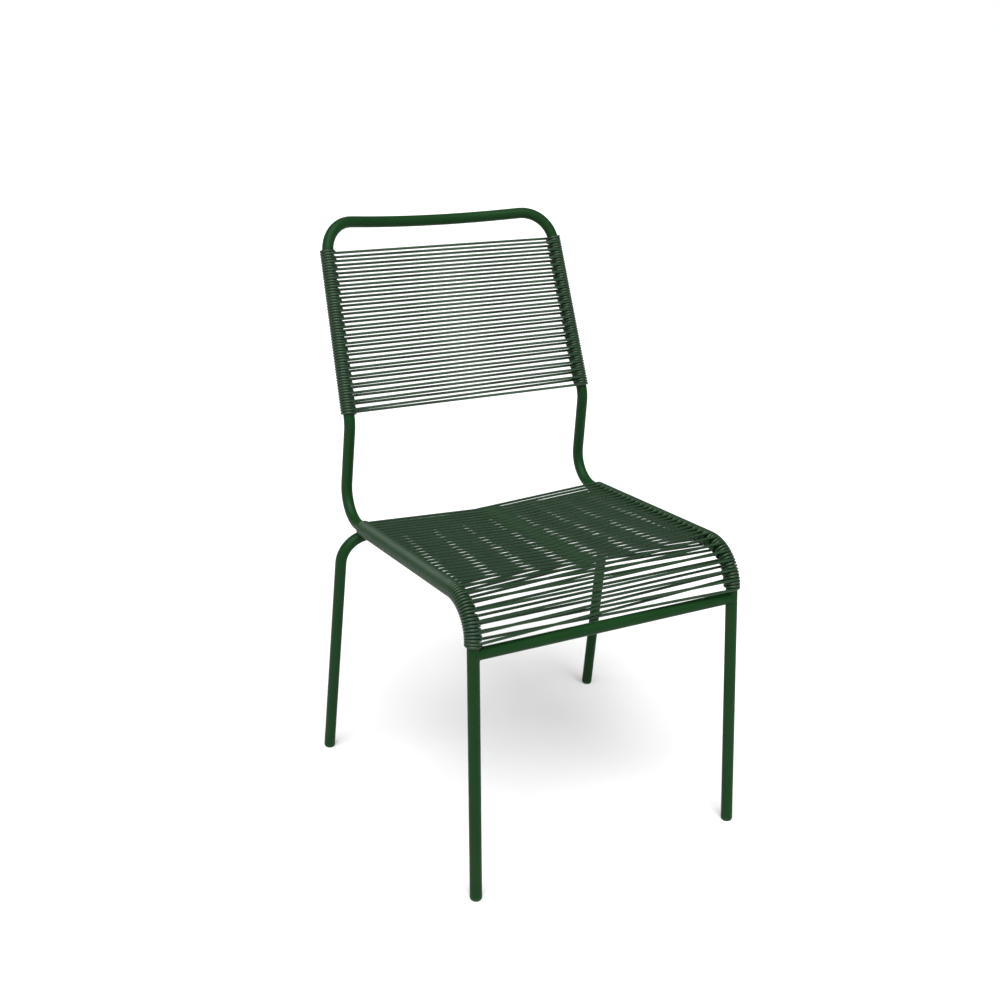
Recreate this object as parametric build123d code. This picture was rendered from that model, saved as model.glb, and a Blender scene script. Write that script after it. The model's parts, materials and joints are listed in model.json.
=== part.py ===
from build123d import *
import os
from itertools import accumulate
from math import atan2, radians, sqrt, tan

# A stackable garden chair. One bent steel tube makes the front legs, the seat
# rails, the back posts and the top rail. A U-shaped tube under the rails makes
# the rear legs, a stretcher ties the front legs, and round plastic cord is wound
# in a figure of eight between the rails and between the posts.
#
# Axes: X across the seat, -Y is the front, +Z up. The origin is on the floor
# under the middle of the chair's outline. Lengths are in millimetres.

# ---- Tubes --------------------------------------------------------------------
tube_diameter = 18.0
tube_wall = 1.5

# ---- Main frame, on the tube's centreline ----------------------------------------
front_foot_half_spacing = 226.2
front_foot_lead = 51.5  # foot ahead of the seat's front corner
rail_half_spacing = 220.7
seat_front_height = 449.0
seat_rear_height = 409.4
seat_depth = 442.6  # front corner to rear corner
kink_half_spacing = 216.9
kink_height = 570.2
kink_lead = 12.0  # kink ahead of the rear corner
top_half_spacing = 205.8
top_height = 864.2
top_setback = 130.7  # top corner behind the kink
top_rail_bow = 45.4  # meeting point of the top rail's two halves, behind the posts' plane

front_bend_radius = 60.0
rear_bend_radius = 50.0
kink_bend_radius = 48.0
top_bend_radius = 54.0

# ---- Rear legs --------------------------------------------------------------------
rear_foot_half_spacing = 260.2
rear_leg_top_half_spacing = 251.7
rear_foot_setback = 39.4  # foot behind the cross tube
cross_tube_setback = 380.0  # cross tube behind the seat's front corner
rear_leg_bend_radius = 44.3

# ---- Front stretcher -----------------------------------------------------------------
stretcher_height = 373.4

# ---- Foot glides ---------------------------------------------------------------------
glide_head_height = 6.5
glide_edge_radius = 5.0
glide_floor_cut = 0.4  # taken off the leaning head, past its flat, to sit level
glide_stem_length = 18.0
glide_stem_diameter = 11.0
glide_fin_count = 3
glide_fin_thickness = 1.5

# ---- Weld beads ----------------------------------------------------------------------
stretcher_weld_leg = 1.0
rail_weld_reach = 6.5
rail_weld_root_radius = 1.5

# ---- Cord ----------------------------------------------------------------------------
cord_diameter = 4.3
cord_pitch = 13.07  # from one pair of strings to the next
turns_per_pitch = 3
string_gap = 0.4  # between a string's end and the turns
back_winding_gap = 1.5  # above the end of the kink's bend
back_winding_length = 264.0
back_first_string = 4.6  # from the start of the winding
back_string_drop = 2.3  # the first string of a pair ends this much lower on the right
seat_winding_gap = 0.3  # to the stretcher's welds and to the cross tube
seat_first_string = 6.0
seat_string_drop = 0.3

# ---- Worked out from the sizes above -------------------------------------------------
tube_radius = tube_diameter / 2
bore_radius = tube_radius - tube_wall
stretcher_bead_radius = tube_radius + stretcher_weld_leg
cord_radius = cord_diameter / 2
string_offset = tube_radius + cord_radius
winding_radius = tube_radius + cord_diameter
turn_pitch = cord_pitch / turns_per_pitch
X_DIRECTION = Vector(1, 0, 0)


def on_left(points):
    """The same points on the left side of the chair."""
    return [Vector(-point.X, point.Y, point.Z) for point in points]


def point_towards(start, end, distance):
    return start + (end - start).normalized() * distance


def glide_base(foot_x, foot_y, corner):
    """Where a leg's axis meets the glide's flat underside, just below the floor."""
    floor_point = Vector(foot_x, foot_y, 0)
    axis = (corner - floor_point).normalized()
    lean = sqrt(axis.X**2 + axis.Y**2) / axis.Z
    flat_radius = tube_radius - glide_edge_radius
    return floor_point - axis * (glide_floor_cut + flat_radius * lean)


def largest(shape):
    return max(shape.solids(), key=lambda piece: piece.volume)


# ---- Centreline of the main frame ----------------------------------------------------
# Y is measured from the front feet here, and the finished chair is centred at the end.
front_corner = Vector(rail_half_spacing, front_foot_lead, seat_front_height)
rear_corner = Vector(rail_half_spacing, front_foot_lead + seat_depth, seat_rear_height)
kink = Vector(kink_half_spacing, rear_corner.Y - kink_lead, kink_height)
top_corner = Vector(top_half_spacing, kink.Y + top_setback, top_height)

front_base = glide_base(front_foot_half_spacing, 0, front_corner)
front_tube_end = point_towards(front_base, front_corner, glide_head_height)
leg_direction = (front_corner - front_base).normalized()
rail_direction = (rear_corner - front_corner).normalized()

post_rise = Vector(0, top_corner.Y - kink.Y, top_corner.Z - kink.Z).normalized()
behind_posts = Vector(0, post_rise.Z, -post_rise.Y)
bow_point = Vector(0, top_corner.Y, top_corner.Z) + behind_posts * top_rail_bow


def bow_radius():
    """The largest arc along the top rail that leaves room for the two corner bends."""
    half_rail = bow_point - top_corner
    corner_turn = radians((top_corner - kink).get_angle(half_rail))
    free_length = half_rail.length - top_bend_radius * tan(corner_turn / 2)
    return 0.98 * free_length / tan(atan2(top_rail_bow, top_half_spacing))


side_points = [front_tube_end, front_corner, rear_corner, kink, top_corner]
side_radii = [front_bend_radius, rear_bend_radius, kink_bend_radius, top_bend_radius]
main_path = FilletPolyline(
    *on_left(side_points),
    bow_point,
    *reversed(side_points),
    radius=side_radii + [bow_radius()] + side_radii[::-1],
).wire()

# Distances from the left foot at which the path's straights and bends end, in order.
stations = list(accumulate(edge.length for edge in main_path.order_edges()))
front_bend_end = stations[1]
kink_end = stations[5]


def leg_axis_at(height):
    """The point on the right front leg's centreline at a height."""
    return front_base + leg_direction * ((height - front_base.Z) / leg_direction.Z)


# ---- Centreline of the rear U tube ---------------------------------------------------
rail_line = Edge.make_line(front_corner, rear_corner)
cross_tube_y = front_corner.Y + cross_tube_setback
rear_foot_y = cross_tube_y + rear_foot_setback


def rear_points_at(height):
    """The glide's base, the tube's end and its corner on the right, for a cross tube height."""
    corner = Vector(rear_leg_top_half_spacing, cross_tube_y, height)
    base = glide_base(rear_foot_half_spacing, rear_foot_y, corner)
    return base, point_towards(base, corner, glide_head_height), corner


def rear_path_at(height):
    _, tube_end, corner = rear_points_at(height)
    points = on_left([tube_end, corner]) + [corner, tube_end]
    return FilletPolyline(*points, radius=[rear_leg_bend_radius] * 2).wire()


def height_under_rails():
    """The cross tube height at which the U tube's bends touch the rails from below."""
    height = seat_rear_height - tube_diameter
    for _ in range(4):
        height += rear_path_at(height).distance_to(rail_line) - tube_diameter
    return height


cross_tube_height = height_under_rails()
rear_path = rear_path_at(cross_tube_height)
rear_base, _, rear_leg_corner = rear_points_at(cross_tube_height)


# ---- Tubes ---------------------------------------------------------------------------
def solid_along(path, radius):
    return sweep(Plane(origin=path @ 0, z_dir=path % 0) * Circle(radius), path=path)


def tube_along(path, outer_radius, inner_radius):
    return solid_along(path, outer_radius) - solid_along(path, inner_radius)


def make_stretcher(legs):
    """A tube between the front legs, its ends coped to fit round them."""
    joint = leg_axis_at(stretcher_height)
    plane = Plane(origin=joint - X_DIRECTION * (2 * joint.X), z_dir=X_DIRECTION)
    blank = Solid.make_cylinder(tube_radius, 2 * joint.X, plane)
    bore = Solid.make_cylinder(bore_radius, 2 * joint.X, plane)
    return largest(blank - bore - legs)


# ---- Glides --------------------------------------------------------------------------
def upright_cylinder(radius, height, base_z):
    return Pos(0, 0, base_z) * Cylinder(radius, height, align=(Align.CENTER, Align.CENTER, Align.MIN))


def make_glide(base, corner):
    """A finned plug with a domed head, pressed into a leg and cut level with the floor."""
    head = upright_cylinder(tube_radius, glide_head_height, 0)
    head = fillet(head.edges().group_by(Axis.Z)[0], glide_edge_radius)
    stem_base = glide_head_height / 2
    body = head + upright_cylinder(
        glide_stem_diameter / 2, stem_base + glide_stem_length, glide_head_height - stem_base
    )
    fin_step = glide_stem_length / glide_fin_count
    for index in range(1, glide_fin_count + 1):
        fin_base = glide_head_height + fin_step * index - glide_fin_thickness
        body += upright_cylinder(bore_radius, glide_fin_thickness, fin_base)
    placed = Plane(origin=base, z_dir=corner - base) * body
    below_floor = Pos(base.X, base.Y, 0) * Box(
        4 * tube_diameter, 4 * tube_diameter, tube_diameter, align=(Align.CENTER, Align.CENTER, Align.MAX)
    )
    return largest(placed - below_floor)


# ---- Welds ---------------------------------------------------------------------------
def ring_round(centre, axis, outer_radius, inner_radius, length):
    """A thick ring centred on a point, the blank that a weld bead is trimmed from."""
    plane = Plane(origin=centre - axis * (length / 2), z_dir=axis)
    return Solid.make_cylinder(outer_radius, length, plane) - Solid.make_cylinder(inner_radius, length, plane)


def make_stretcher_weld(legs):
    """The fillet bead round the stretcher where it meets the right front leg."""
    joint = leg_axis_at(stretcher_height)
    reach = 2 * stretcher_bead_radius
    centre = joint - X_DIRECTION * stretcher_bead_radius
    ring = ring_round(centre, X_DIRECTION, stretcher_bead_radius, tube_radius, reach)
    leg_plane = Plane(origin=joint - leg_direction * reach, z_dir=leg_direction)
    around_leg = Solid.make_cylinder(stretcher_bead_radius, 2 * reach, leg_plane)
    return largest((ring & around_leg) - legs)


def make_rail_weld(legs, rear_legs):
    """The bead round the spot where the rear U tube touches the right side rail."""
    _, on_rear, on_rail = rear_path.distance_to_with_closest_points(rail_line)
    if on_rear.X < 0:
        raise ValueError("the right-hand crossing was expected")
    bead = ring_round(
        (on_rail + on_rear) * 0.5,
        (on_rail - on_rear).normalized(),
        rail_weld_reach,
        rail_weld_root_radius,
        tube_radius,
    )
    return largest(bead - legs - rear_legs)


# ---- Cord ----------------------------------------------------------------------------
def make_winding(start, end):
    """The outer shape of the close turns on the left tube, between two distances along it."""
    stretch = main_path.trim(start / main_path.length, end / main_path.length)
    return tube_along(stretch, winding_radius, tube_radius)


def string_end(station, side, face):
    """Where a string meets the turns. Face 1 is the front or top, -1 the back or underside."""
    point = main_path.position_at(station, PositionMode.LENGTH)
    tangent = main_path.tangent_at(station, PositionMode.LENGTH)
    outward = X_DIRECTION.cross(tangent).normalized()
    clear_of_turns = sqrt((winding_radius + string_gap) ** 2 - tube_radius**2)
    point += outward * (face * string_offset) + X_DIRECTION * clear_of_turns
    return Vector(-side * point.X, point.Y, point.Z)


def straight_string(left_end, right_end):
    plane = Plane(origin=left_end, z_dir=right_end - left_end)
    return Solid.make_cylinder(cord_radius, (right_end - left_end).length, plane)


def make_strings(start, end, first, drop):
    """The strings between the two sides, over one stretch of winding.

    Each side takes two and a half turns between strings. The first string of a pair
    runs from the back of the left tube to the front of the right one, and the second
    from the back of the right tube to the front of the left one, so they cross.
    """
    strings = []
    left = start + first
    right = left - drop
    while left + cord_radius < end:
        strings.append(straight_string(string_end(left, -1, -1), string_end(right, 1, 1)))
        returning = right + (turns_per_pitch - 0.5) * turn_pitch
        if returning + cord_radius < end:
            far_end = string_end(returning, 1, -1)
            strings.append(straight_string(string_end(left + turn_pitch / 2, -1, 1), far_end))
        left += cord_pitch
        right += cord_pitch
    return Compound(children=strings)


def along_leg(height):
    return (height - front_tube_end.Z) / leg_direction.Z


def along_rail(y):
    bend_end = main_path.position_at(front_bend_end, PositionMode.LENGTH)
    return front_bend_end + (y - bend_end.Y) / rail_direction.Y


seat_start = along_leg(stretcher_height) + stretcher_bead_radius + seat_winding_gap
seat_end = along_rail(cross_tube_y) - tube_radius - seat_winding_gap
back_start = kink_end + back_winding_gap
back_end = back_start + back_winding_length

# ---- The pieces ----------------------------------------------------------------------
main_solid = solid_along(main_path, tube_radius)
rear_solid = solid_along(rear_path, tube_radius)

right_pieces = {
    "front_glide": make_glide(front_base, front_corner),
    "rear_glide": make_glide(rear_base, rear_leg_corner),
    "stretcher_weld": make_stretcher_weld(main_solid),
    "rail_weld": make_rail_weld(main_solid, rear_solid),
}
left_pieces = {
    "seat_cord_winding": make_winding(seat_start, seat_end),
    "back_cord_winding": make_winding(back_start, back_end),
}
pieces = {
    "main_frame_tube": main_solid - solid_along(main_path, bore_radius),
    "rear_leg_tube": rear_solid - solid_along(rear_path, bore_radius),
    "front_stretcher": make_stretcher(main_solid),
    "seat_cord_strings": make_strings(seat_start, seat_end, seat_first_string, seat_string_drop),
    "back_cord_strings": make_strings(back_start, back_end, back_first_string, back_string_drop),
}
for name, piece in right_pieces.items():
    pieces[name + "_right"] = piece
    pieces[name + "_left"] = mirror(piece, about=Plane.YZ)
for name, piece in left_pieces.items():
    pieces[name + "_left"] = piece
    pieces[name + "_right"] = mirror(piece, about=Plane.YZ)

boxes = [piece.bounding_box() for piece in pieces.values()]
middle_y = (min(box.min.Y for box in boxes) + max(box.max.Y for box in boxes)) / 2

os.makedirs("parts", exist_ok=True)
for name, piece in pieces.items():
    export_step(Pos(0, -middle_y, 0) * piece, f"parts/{name}.step")
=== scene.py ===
import json
import random
from math import cos, pi, radians, sin, tan

import bpy
from mathutils import Matrix, Vector


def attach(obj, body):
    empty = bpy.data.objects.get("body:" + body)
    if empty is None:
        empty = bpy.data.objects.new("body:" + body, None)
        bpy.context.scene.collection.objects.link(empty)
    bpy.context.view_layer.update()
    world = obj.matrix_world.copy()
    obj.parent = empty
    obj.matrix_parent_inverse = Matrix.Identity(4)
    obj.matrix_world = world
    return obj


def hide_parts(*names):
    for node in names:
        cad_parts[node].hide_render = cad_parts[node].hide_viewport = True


# A stacking garden chair: dark green powder-coated tube, and round plastic cord wound
# in a figure of eight between the rails and between the posts. Metres, +Z up, the
# chair's front towards -Y.

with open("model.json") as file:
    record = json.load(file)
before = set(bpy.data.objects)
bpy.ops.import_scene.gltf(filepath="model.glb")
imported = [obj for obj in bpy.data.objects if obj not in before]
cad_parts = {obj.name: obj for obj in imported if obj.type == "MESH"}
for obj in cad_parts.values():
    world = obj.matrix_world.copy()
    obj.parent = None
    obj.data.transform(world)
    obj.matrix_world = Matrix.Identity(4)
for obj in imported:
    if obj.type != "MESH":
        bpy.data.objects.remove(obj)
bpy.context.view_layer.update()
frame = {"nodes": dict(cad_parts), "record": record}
scene = bpy.context.scene
rng = random.Random(7)

X_AXIS = Vector((1, 0, 0))
MM = 0.001
LEFT, RIGHT = -1, 1


# ---- Small helpers -----------------------------------------------------------------
def mesh_object(name, verts, faces, material, smooth=True):
    mesh = bpy.data.meshes.new(name)
    mesh.from_pydata(verts, [], faces)
    mesh.update()
    for polygon in mesh.polygons:
        polygon.use_smooth = smooth
    obj = bpy.data.objects.new(name, mesh)
    scene.collection.objects.link(obj)
    obj.data.materials.append(material)
    return obj


def new_material(name):
    material = bpy.data.materials.new(name)
    material.use_nodes = True
    nodes = material.node_tree.nodes
    return material, nodes, material.node_tree.links, nodes["Principled BSDF"]


def noise_node(nodes, links, scale, detail, coords):
    node = nodes.new("ShaderNodeTexNoise")
    node.inputs["Scale"].default_value = scale
    node.inputs["Detail"].default_value = detail
    links.new(coords, node.inputs["Vector"])
    return node


def ramp_node(nodes, links, value, stops):
    ramp = nodes.new("ShaderNodeValToRGB")
    elements = ramp.color_ramp.elements
    while len(elements) < len(stops):
        elements.new(0.5)
    for element, (position, colour) in zip(elements, stops):
        element.position = position
        element.color = (*colour, 1)
    links.new(value, ramp.inputs["Fac"])
    return ramp


def range_node(nodes, links, value, low, high, from_low=0.0, from_high=1.0):
    node = nodes.new("ShaderNodeMapRange")
    node.inputs["From Min"].default_value = from_low
    node.inputs["From Max"].default_value = from_high
    node.inputs["To Min"].default_value = low
    node.inputs["To Max"].default_value = high
    links.new(value, node.inputs["Value"])
    return node


def bump_node(nodes, links, height, strength, distance):
    node = nodes.new("ShaderNodeBump")
    node.inputs["Strength"].default_value = strength
    node.inputs["Distance"].default_value = distance
    links.new(height, node.inputs["Height"])
    return node


def multiply_node(nodes, links, first, second):
    node = nodes.new("ShaderNodeMath")
    node.operation = "MULTIPLY"
    links.new(first, node.inputs[0])
    links.new(second, node.inputs[1])
    return node


# ---- Materials ---------------------------------------------------------------------
# Each surface clouds between two colours, at these two values of its noise.
CLOUD_LOW, CLOUD_HIGH = 0.3, 0.7
PAINT_COLOURS = (0.0042, 0.0285, 0.0057), (0.0054, 0.0330, 0.0071)
PACKED_CORD_COLOURS = (0.0060, 0.0265, 0.0078), (0.0086, 0.0315, 0.0110)
# The open strings' paler, greyer colours are a painted sheen, not the cord's own colour.
PAINTED_SHEEN_CORD_COLOURS = (0.0200, 0.0470, 0.0230), (0.0270, 0.0560, 0.0300)
GLIDE_COLOUR, WORN_GLIDE_COLOUR = (0.0095, 0.0410, 0.0115), (0.0230, 0.0450, 0.0250)
FLOOR_COLOURS = (0.80, 0.80, 0.80), (0.83, 0.83, 0.83)

# The noise values between which a surface goes from its least to its most roughness.
ROUGH_FROM, ROUGH_TO = 0.35, 0.7
PAINT_SPECULAR, CORD_SPECULAR, GLIDE_SPECULAR, FLOOR_SPECULAR = 0.09, 0.36, 0.09, 0.1
FLOOR_ROUGHNESS = 0.85

# The backrest's open strings, which get a painted sheen, lie inside this distance from
# the middle and above this height; each pair gives where the paler colour is full and
# where it ends.
OPEN_FULL_X, OPEN_END_X = 0.184, 0.196
OPEN_END_Z, OPEN_FULL_Z = 0.50, 0.56
WORN_HEIGHT = 0.0025

# Sockets of a colour Mix node, which share their names with those of other types.
MIX_FIRST, MIX_SECOND, MIX_RESULT = 6, 7, 2


def clouded(nodes, links, noise, colours):
    low, high = colours
    return ramp_node(
        nodes, links, noise.outputs["Fac"], [(CLOUD_LOW, low), (CLOUD_HIGH, high)]
    )


def set_roughness(nodes, links, shader, noise, low, high):
    rough = range_node(
        nodes, links, noise.outputs["Fac"], low, high, ROUGH_FROM, ROUGH_TO
    )
    links.new(rough.outputs["Result"], shader.inputs["Roughness"])


def powder_coat(name="green_powder_coat"):
    """Satin powder coat: fine orange peel, faint clouding and a few dull rub marks."""
    material, nodes, links, shader = new_material(name)
    coords = nodes.new("ShaderNodeTexCoord").outputs["Object"]
    colour = clouded(nodes, links, noise_node(nodes, links, 14, 3, coords), PAINT_COLOURS)
    links.new(colour.outputs["Color"], shader.inputs["Base Color"])
    rubs = noise_node(nodes, links, 60, 4, coords)
    set_roughness(nodes, links, shader, rubs, 0.40, 0.56)
    peel = noise_node(nodes, links, 700, 2, coords)
    bump = bump_node(nodes, links, peel.outputs["Fac"], 0.35, 0.00012)
    links.new(bump.outputs["Normal"], shader.inputs["Normal"])
    shader.inputs["Specular IOR Level"].default_value = PAINT_SPECULAR
    return material


def painted_sheen_share(nodes, links, coords):
    """1 on the backrest's open strings, which get a painted sheen, and 0 on turns and
    seat.
    """
    place = nodes.new("ShaderNodeSeparateXYZ")
    links.new(coords, place.inputs["Vector"])
    across = nodes.new("ShaderNodeMath")
    across.operation = "ABSOLUTE"
    links.new(place.outputs["X"], across.inputs[0])
    inward = range_node(
        nodes, links, across.outputs["Value"], 1.0, 0.0, OPEN_FULL_X, OPEN_END_X
    )
    upward = range_node(
        nodes, links, place.outputs["Z"], 0.0, 1.0, OPEN_END_Z, OPEN_FULL_Z
    )
    share = multiply_node(nodes, links, inward.outputs["Result"], upward.outputs["Result"])
    return share.outputs["Value"]


def cord_plastic(name="green_cord_plastic"):
    """Extruded round cord: slightly dusty green plastic with a waxy gloss, and a painted
    sheen that makes the backrest's open strings a paler, greyer green.
    """
    material, nodes, links, shader = new_material(name)
    coords = nodes.new("ShaderNodeTexCoord").outputs["Object"]
    clouds = noise_node(nodes, links, 45, 4, coords)
    packed = clouded(nodes, links, clouds, PACKED_CORD_COLOURS)
    # Painted sheen: a paler, greyer green that is mixed in on the backrest's open strings.
    painted_sheen_colour = clouded(nodes, links, clouds, PAINTED_SHEEN_CORD_COLOURS)
    colour = nodes.new("ShaderNodeMix")
    colour.data_type = "RGBA"
    links.new(painted_sheen_share(nodes, links, coords), colour.inputs["Factor"])
    links.new(packed.outputs["Color"], colour.inputs[MIX_FIRST])
    links.new(painted_sheen_colour.outputs["Color"], colour.inputs[MIX_SECOND])
    links.new(colour.outputs[MIX_RESULT], shader.inputs["Base Color"])
    scuffs = noise_node(nodes, links, 160, 3, coords)
    set_roughness(nodes, links, shader, scuffs, 0.34, 0.48)
    skin = noise_node(nodes, links, 1100, 2, coords)
    bump = bump_node(nodes, links, skin.outputs["Fac"], 0.25, 0.00008)
    links.new(bump.outputs["Normal"], shader.inputs["Normal"])
    shader.inputs["Specular IOR Level"].default_value = CORD_SPECULAR
    return material


def glide_plastic(name="green_glide_plastic"):
    """Moulded plug: a satin plastic, scuffed dull where it meets the floor."""
    material, nodes, links, shader = new_material(name)
    coords = nodes.new("ShaderNodeTexCoord").outputs["Object"]
    height = nodes.new("ShaderNodeSeparateXYZ")
    links.new(coords, height.inputs["Vector"])
    scratches = noise_node(nodes, links, 420, 5, coords)
    near_floor = range_node(nodes, links, height.outputs["Z"], 1.0, 0.0, 0.0, WORN_HEIGHT)
    worn = multiply_node(
        nodes, links, near_floor.outputs["Result"], scratches.outputs["Fac"]
    )
    colour = ramp_node(
        nodes, links, worn.outputs["Value"],
        [(0.0, GLIDE_COLOUR), (0.8, WORN_GLIDE_COLOUR)],
    )
    links.new(colour.outputs["Color"], shader.inputs["Base Color"])
    rough = range_node(nodes, links, worn.outputs["Value"], 0.45, 0.8)
    links.new(rough.outputs["Result"], shader.inputs["Roughness"])
    bump = bump_node(nodes, links, scratches.outputs["Fac"], 0.2, 0.0001)
    links.new(bump.outputs["Normal"], shader.inputs["Normal"])
    shader.inputs["Specular IOR Level"].default_value = GLIDE_SPECULAR
    return material


paint = powder_coat()
cord_material = cord_plastic()
glide_material = glide_plastic()

for node_name, obj in frame["nodes"].items():
    obj.data.materials.clear()
    obj.data.materials.append(glide_material if "glide" in node_name else paint)


# ---- The frame tube's centreline ---------------------------------------------------
mounts = {mount["name"]: Vector(mount["pos_m"]) for mount in frame["record"]["mounts"]}
foot = mounts["front_left_glide_base"]

tube_radius = 9.0 * MM
cord_radius = 2.15 * MM
wound_radius = tube_radius + cord_radius
back_pitch = 13.07 * MM
seat_pitch = 13.07 * MM
tight_pitch = 4.32 * MM

foot_y = foot.y
front_corner = Vector((-220.7 * MM, foot_y + 51.5 * MM, 449.0 * MM))
rear_corner = Vector((-220.7 * MM, foot_y + 494.1 * MM, 409.4 * MM))
kink = Vector((-216.9 * MM, foot_y + 482.1 * MM, 570.2 * MM))
top_corner = Vector((-205.8 * MM, foot_y + 612.8 * MM, 864.2 * MM))
bends = [(front_corner, 60.0 * MM), (rear_corner, 50.0 * MM), (kink, 48.0 * MM)]


class Centreline:
    """Straight runs joined by arcs, measured along from the foot."""

    def __init__(self, start, corners, end):
        self.spans = []
        self.ends = []
        here = start
        distance = 0.0
        points = [start] + [corner for corner, _ in corners] + [end]
        for index, (corner, radius) in enumerate(corners):
            into = (corner - points[index]).normalized()
            out = (points[index + 2] - corner).normalized()
            turn = into.angle(out)
            setback = radius * tan(turn / 2)
            tangent_in = corner - into * setback
            distance = self.add_run(here, tangent_in, distance)
            centre = tangent_in + (out - into * into.dot(out)).normalized() * radius
            self.spans.append(("arc", distance, centre, tangent_in - centre, into, radius))
            distance += radius * turn
            self.ends.append(distance)
            here = corner + out * setback
        self.add_run(here, end, distance)

    def add_run(self, start, end, distance):
        self.spans.append(("run", distance, start, (end - start).normalized(), None, None))
        distance += (end - start).length
        self.ends.append(distance)
        return distance

    def at(self, distance):
        """(point, tangent) at a distance from the start."""
        index = 0
        while index < len(self.ends) - 1 and distance > self.ends[index]:
            index += 1
        kind, begin, origin, first, second, radius = self.spans[index]
        along = distance - begin
        if kind == "run":
            return origin + first * along, first
        angle = along / radius
        point = origin + first * cos(angle) + second * (radius * sin(angle))
        tangent = second * cos(angle) - first.normalized() * sin(angle)
        return point, tangent.normalized()


side_line = Centreline(foot, bends, top_corner)
kink_end = side_line.ends[5]


# ---- The wound cords ---------------------------------------------------------------
# Where a turn stands round its tube: 0 on the front or top, a quarter on the outside.
FRONT, BEHIND = 0.0, 0.5

STEPS_PER_TURN = 28
SECTION_SIDES = 12
STRING_POINTS = 12
TURN_STRAY = 0.09
STRING_LEAN = 0.15

# A string's first and last points: distances from its ends, then the share of its
# length where the evenly spaced points begin and how much of it they take up.
CLOSE_TO_END = [0.004, 0.009, 0.018]
EVEN_FROM, EVEN_SPAN = 0.07, 0.86

# Only points nearer to each other than this are rounded off, so long strings stay.
EASE_REACH = 0.0075
EASE_ROUNDS = 3

# Three turns to a pair of strings: two and a half before the cord leaves its tube, and
# half a turn's step between a string's two neighbours.
TURNS_PER_PITCH = 3
TURNS_BETWEEN = 2.5
ARRIVAL_TURNS = 0.5

# How far from the tube's surface towards its axis the cord's tucked end goes.
TUCK_DEPTHS = [0.16, 0.34, 0.55]


def round_tube(side, distance, turn):
    """A point on the wound cord's axis, at a distance along one side tube."""
    point, tangent = side_line.at(distance)
    if side > 0:
        point = Vector((-point.x, point.y, point.z))
        tangent = Vector((-tangent.x, tangent.y, tangent.z))
    face = X_AXIS.cross(tangent).normalized()
    outside = (tangent.cross(face) * -1).normalized()
    if outside.x * side < 0:
        outside = -outside
    angle = 2 * pi * turn
    return point + (face * cos(angle) + outside * sin(angle)) * wound_radius


def wrap(side, start, end, first_turn, turns):
    """Points of a helix round one side tube. Each turn strays a little from its place."""
    count = max(2, round(turns * STEPS_PER_TURN))
    stray = [rng.uniform(-TURN_STRAY, TURN_STRAY) * MM for _ in range(int(turns) + 3)]
    points = []
    for index in range(count + 1):
        share = index / count
        done = share * turns
        whole = int(done)
        part = done - whole
        offset = stray[whole] * (1 - part) + stray[whole + 1] * part
        fade = min(1.0, done * 2, (turns - done) * 2)
        distance = start + (end - start) * share + offset * fade
        points.append(round_tube(side, distance, first_turn + done))
    return points


def string(start, end):
    """Points strictly between two ends of a taut string, closer together near the ends."""
    span = end - start
    length = span.length
    shares = [d / length for d in CLOSE_TO_END]
    shares += [
        EVEN_FROM + (EVEN_SPAN * i / (STRING_POINTS - 1)) for i in range(STRING_POINTS)
    ]
    shares += [1 - d / length for d in reversed(CLOSE_TO_END)]
    lean_y = rng.uniform(-STRING_LEAN, STRING_LEAN) * MM
    lean_z = rng.uniform(-STRING_LEAN, STRING_LEAN) * MM
    lean = Vector((0, lean_y, lean_z))
    return [start + span * share + lean * (4 * share * (1 - share)) for share in shares]


def eased(points):
    """The same line with its small corners rounded off."""
    for _ in range(EASE_ROUNDS):
        previous = points[:]
        for index in range(1, len(points) - 1):
            before, here, after = previous[index - 1:index + 2]
            if max((here - before).length, (after - here).length) < EASE_REACH:
                points[index] = here * 0.5 + (before + after) * 0.25
    return points


def swept(points, radius, sides):
    """Vertices and faces of a closed round tube along a line of points."""
    verts = []
    faces = []
    normal = None
    count = len(points)
    for index, point in enumerate(points):
        before = points[max(index - 1, 0)]
        after = points[min(index + 1, count - 1)]
        tangent = (after - before).normalized()
        if normal is None:
            normal = tangent.orthogonal().normalized()
        normal = (normal - tangent * normal.dot(tangent)).normalized()
        binormal = tangent.cross(normal)
        for corner in range(sides):
            angle = 2 * pi * corner / sides
            verts.append(point + (normal * cos(angle) + binormal * sin(angle)) * radius)
    for ring in range(count - 1):
        for corner in range(sides):
            a = ring * sides + corner
            b = ring * sides + (corner + 1) % sides
            faces.append((a, b, b + sides, a + sides))
    faces.append(tuple(reversed(range(sides))))
    faces.append(tuple(range((count - 1) * sides, count * sides)))
    return verts, faces


def into_tube(side, distance, turn, leaving):
    """The cord's tucked end, through a hole in the tube's wall: its last points where
    the cord is leaving into the tube, and its first points where it comes out."""
    inside, _ = side_line.at(distance)
    inside = Vector((-side * inside.x, inside.y, inside.z))
    surface = round_tube(side, distance, turn)
    depths = TUCK_DEPTHS if leaving else reversed(TUCK_DEPTHS)
    return [surface.lerp(inside, depth) for depth in depths]


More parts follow.
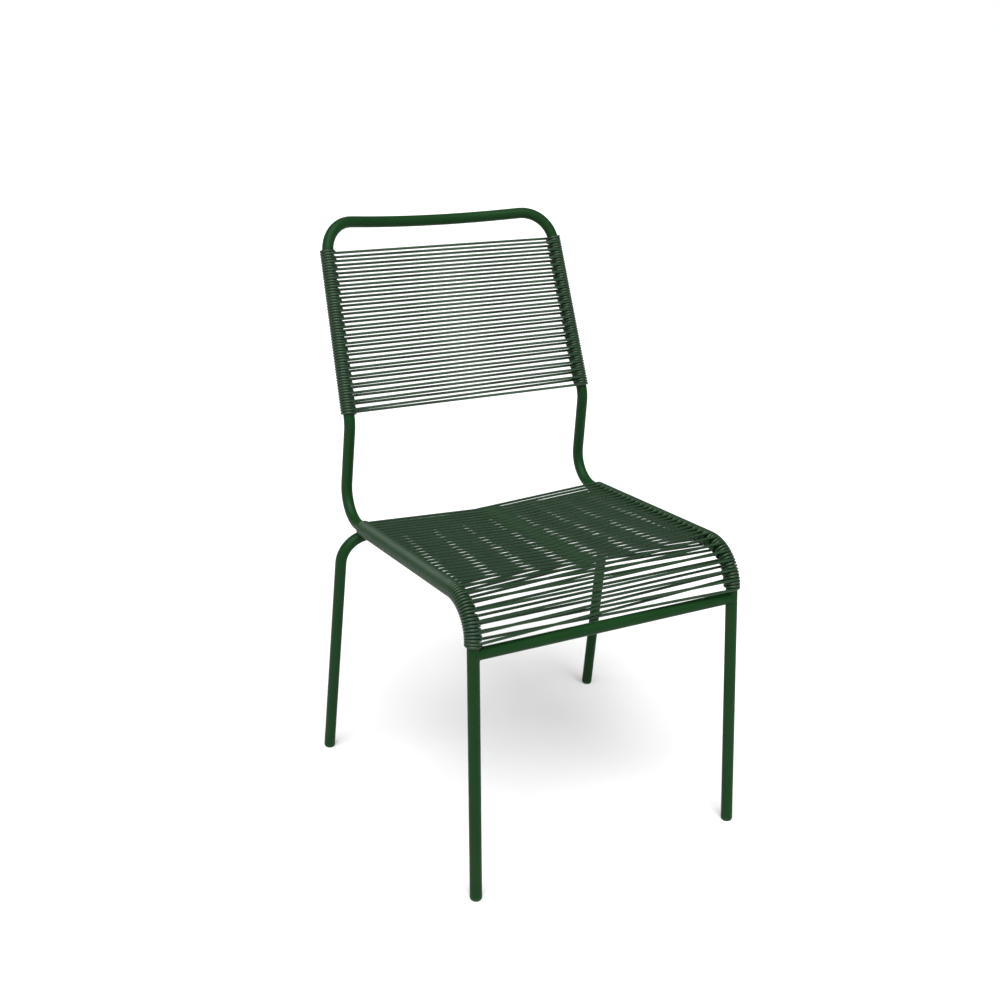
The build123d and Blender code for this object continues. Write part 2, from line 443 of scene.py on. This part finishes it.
def figure_of_eight(pitch, first_left, first_right, pairs, closing, lead_in, lead_out):
    """One length of cord wound between the two side tubes.

    closing adds a last string from left to right after the pairs.
    """
    line = []
    turn_pitch = pitch / TURNS_PER_PITCH
    start = first_left - lead_in * tight_pitch
    line += into_tube(LEFT, start, BEHIND - lead_in, False)
    line += wrap(LEFT, start, first_left, BEHIND - lead_in, lead_in)
    left, right = first_left, first_right
    for pair in range(pairs + closing):
        line += string(line[-1], round_tube(RIGHT, right, FRONT))
        if pair == pairs:
            end = right + lead_out * tight_pitch
            line += wrap(RIGHT, right, end, FRONT, lead_out)
            line += into_tube(RIGHT, end, lead_out, True)
            return line
        line += wrap(
            RIGHT, right, right + TURNS_BETWEEN * turn_pitch, FRONT, TURNS_BETWEEN
        )
        arrival = left + ARRIVAL_TURNS * turn_pitch
        line += string(line[-1], round_tube(LEFT, arrival, FRONT))
        left += pitch
        right += pitch
        if pair == pairs - 1 and not closing:
            end = arrival + lead_out * tight_pitch
            line += wrap(LEFT, arrival, end, FRONT, lead_out)
            line += into_tube(LEFT, end, lead_out, True)
            return line
        line += wrap(LEFT, arrival, left, FRONT, TURNS_BETWEEN)


def cord_piece(name, line, nodes):
    verts, faces = swept(eased(line), cord_radius, SECTION_SIDES)
    obj = mesh_object(name, verts, faces, cord_material)
    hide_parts(*nodes)
    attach(obj, "root")
    return obj


back_line = figure_of_eight(
    pitch=back_pitch,
    first_left=kink_end + 6.1 * MM,
    first_right=kink_end + 3.8 * MM,
    pairs=20,
    closing=0,
    lead_in=0.75,
    lead_out=1.75,
)
cord_piece(
    "back_cord", back_line,
    ["back_cord_strings", "back_cord_winding_left", "back_cord_winding_right"],
)

seat_line = figure_of_eight(
    pitch=seat_pitch,
    first_left=392.2 * MM,
    first_right=391.9 * MM,
    pairs=31,
    closing=1,
    lead_in=0.95,
    lead_out=0.75,
)
cord_piece(
    "seat_cord", seat_line,
    ["seat_cord_strings", "seat_cord_winding_left", "seat_cord_winding_right"],
)


# ---- Floor, light and camera -------------------------------------------------------
FLOOR_HALF_WIDTH = 30.0

# The studio's white walls light the chair less than they show behind it.
WHITE = (1.0, 1.0, 1.0, 1)
WORLD_LIGHT = 0.32
WORLD_SEEN = 1.0

SOFTBOX_FROM = (-0.3, -0.45, 1.0)
SOFTBOX_SPREAD = 58
SOFTBOX_STRENGTH = 4.9

# The photograph's camera, fitted to the frame's tubes. Angles in degrees, lens in mm.
CAMERA_AZIMUTH = -29.7826
CAMERA_ELEVATION = 21.4705
CAMERA_ROLL = 2.4379
CAMERA_SENSOR = 36.0
CAMERA_LENS = 48.168
CAMERA_CLIP_END = 100
CAMERA_PLACE = Vector((-1.00299, foot_y - 1.37773, 1.23995))


def make_floor():
    material, nodes, links, shader = new_material("pale_floor")
    coords = nodes.new("ShaderNodeTexCoord").outputs["Object"]
    colour = clouded(nodes, links, noise_node(nodes, links, 3, 3, coords), FLOOR_COLOURS)
    links.new(colour.outputs["Color"], shader.inputs["Base Color"])
    shader.inputs["Roughness"].default_value = FLOOR_ROUGHNESS
    shader.inputs["Specular IOR Level"].default_value = FLOOR_SPECULAR
    size = FLOOR_HALF_WIDTH
    corners = [(-size, -size, 0), (size, -size, 0), (size, size, 0), (-size, size, 0)]
    floor = mesh_object("floor", corners, [(0, 1, 2, 3)], material, smooth=False)


def make_world():
    world = bpy.data.worlds.new("studio")
    scene.world = world
    world.use_nodes = True
    nodes, links = world.node_tree.nodes, world.node_tree.links
    light = nodes["Background"]
    light.inputs["Color"].default_value = WHITE
    light.inputs["Strength"].default_value = WORLD_LIGHT
    seen = nodes.new("ShaderNodeBackground")
    seen.inputs["Color"].default_value = WHITE
    seen.inputs["Strength"].default_value = WORLD_SEEN
    rays = nodes.new("ShaderNodeLightPath")
    either = nodes.new("ShaderNodeMixShader")
    links.new(rays.outputs["Is Camera Ray"], either.inputs[0])
    links.new(light.outputs["Background"], either.inputs[1])
    links.new(seen.outputs["Background"], either.inputs[2])
    links.new(either.outputs["Shader"], nodes["World Output"].inputs["Surface"])


def sun_light(name, direction_from, spread, strength):
    data = bpy.data.lights.new(name, "SUN")
    data.angle = radians(spread)
    data.energy = strength
    obj = bpy.data.objects.new(name, data)
    scene.collection.objects.link(obj)
    obj.rotation_euler = Vector(direction_from).to_track_quat("Z", "Y").to_euler()


def make_camera():
    azimuth = radians(CAMERA_AZIMUTH)
    elevation = radians(CAMERA_ELEVATION)
    roll = radians(CAMERA_ROLL)
    back_axis = Vector((
        sin(azimuth) * cos(elevation), -cos(azimuth) * cos(elevation), sin(elevation)
    ))
    level_right = Vector((cos(azimuth), sin(azimuth), 0))
    level_up = back_axis.cross(level_right)
    right_axis = level_right * cos(roll) + level_up * sin(roll)
    up_axis = level_up * cos(roll) - level_right * sin(roll)

    data = bpy.data.cameras.new("camera")
    data.sensor_width = CAMERA_SENSOR
    data.lens = CAMERA_LENS
    data.clip_end = CAMERA_CLIP_END
    camera = bpy.data.objects.new("camera", data)
    scene.collection.objects.link(camera)
    pose = Matrix((right_axis, up_axis, back_axis)).transposed().to_4x4()
    pose.translation = CAMERA_PLACE
    camera.matrix_world = pose
    scene.camera = camera


make_floor()
make_world()
sun_light("softbox_above", SOFTBOX_FROM, SOFTBOX_SPREAD, SOFTBOX_STRENGTH)
make_camera()
scene.view_settings.view_transform = "Standard"
